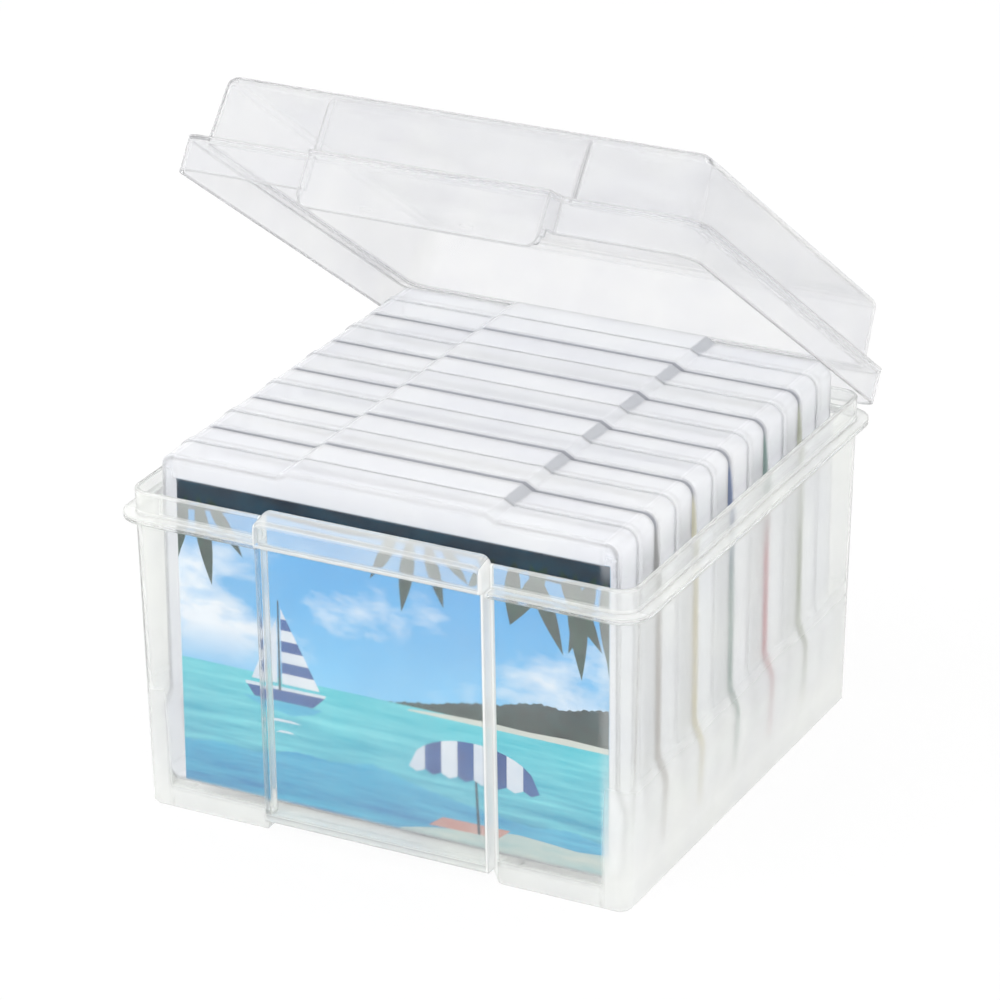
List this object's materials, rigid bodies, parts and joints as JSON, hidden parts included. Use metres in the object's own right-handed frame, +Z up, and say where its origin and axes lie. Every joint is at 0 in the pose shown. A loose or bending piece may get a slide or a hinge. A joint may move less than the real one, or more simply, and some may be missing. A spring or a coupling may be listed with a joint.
{
  "type": "photo keeper case",
  "caption": "Clear lidded tub on two runners with a pull-down latch flap and a row of snap cases that each hold a stack of 5 x 7 in prints.",
  "frame": {"origin": "on the surface that the runners stand on, under the middle of the box round the whole object with its lid half open", "axes": "+X to the right as seen from the latch side, +Y towards the hinges at the back, +Z up"},
  "size_m": [0.2156, 0.2396, 0.2693],
  "materials": {
    "tub_plastic": "clear, faintly cloudy moulded polypropylene",
    "lid_plastic": "clear, faintly cloudy moulded polypropylene",
    "case_plastic": "clear glossy moulded polypropylene",
    "prints_1": "glossy photo prints, a blue seascape in front",
    "prints_2": "photo prints, mixed grey-brown edges",
    "prints_3": "photo prints, mixed yellowish edges",
    "prints_4": "photo prints, mixed green and navy edges",
    "prints_5": "photo prints, mixed red and navy edges",
    "prints_6": "photo prints, mixed olive edges"
  },
  "bodies": {
    "tub": {"base_tub": "tub_plastic"},
    "lid": {"lid": "lid_plastic"},
    "case_1": {"case_1_cover": "case_plastic", "case_1_tray": "case_plastic", "case_1_prints": "prints_1"},
    "case_2": {"case_2_cover": "case_plastic", "case_2_tray": "case_plastic", "case_2_prints": "prints_2"},
    "case_3": {"case_3_cover": "case_plastic", "case_3_tray": "case_plastic", "case_3_prints": "prints_3"},
    "case_4": {"case_4_cover": "case_plastic", "case_4_tray": "case_plastic", "case_4_prints": "prints_4"},
    "case_5": {"case_5_cover": "case_plastic", "case_5_tray": "case_plastic", "case_5_prints": "prints_5"},
    "case_6": {"case_6_cover": "case_plastic", "case_6_tray": "case_plastic", "case_6_prints": "prints_6"}
  },
  "joints": [
    {"name": "lid_hinge", "type": "hinge", "parent": "tub", "child": "lid", "pos_m": [0, 0.09806, 0.10895], "axis": [-1, 0, 0], "range_deg": [-35.12, 75]},
    {"name": "case_1_lift", "type": "slide", "parent": "tub", "child": "case_1", "axis": [0, 0, 1], "range_m": [0, 0.09]},
    {"name": "case_2_lift", "type": "slide", "parent": "tub", "child": "case_2", "axis": [0, 0, 1], "range_m": [0, 0.09]},
    {"name": "case_3_lift", "type": "slide", "parent": "tub", "child": "case_3", "axis": [0, 0, 1], "range_m": [0, 0.09]},
    {"name": "case_4_lift", "type": "slide", "parent": "tub", "child": "case_4", "axis": [0, 0, 1], "range_m": [0, 0.07]},
    {"name": "case_5_lift", "type": "slide", "parent": "tub", "child": "case_5", "axis": [0, 0, 1], "range_m": [0, 0.05]},
    {"name": "case_6_lift", "type": "slide", "parent": "tub", "child": "case_6", "axis": [0, 0, 1], "range_m": [0, 0.03]}
  ]
}
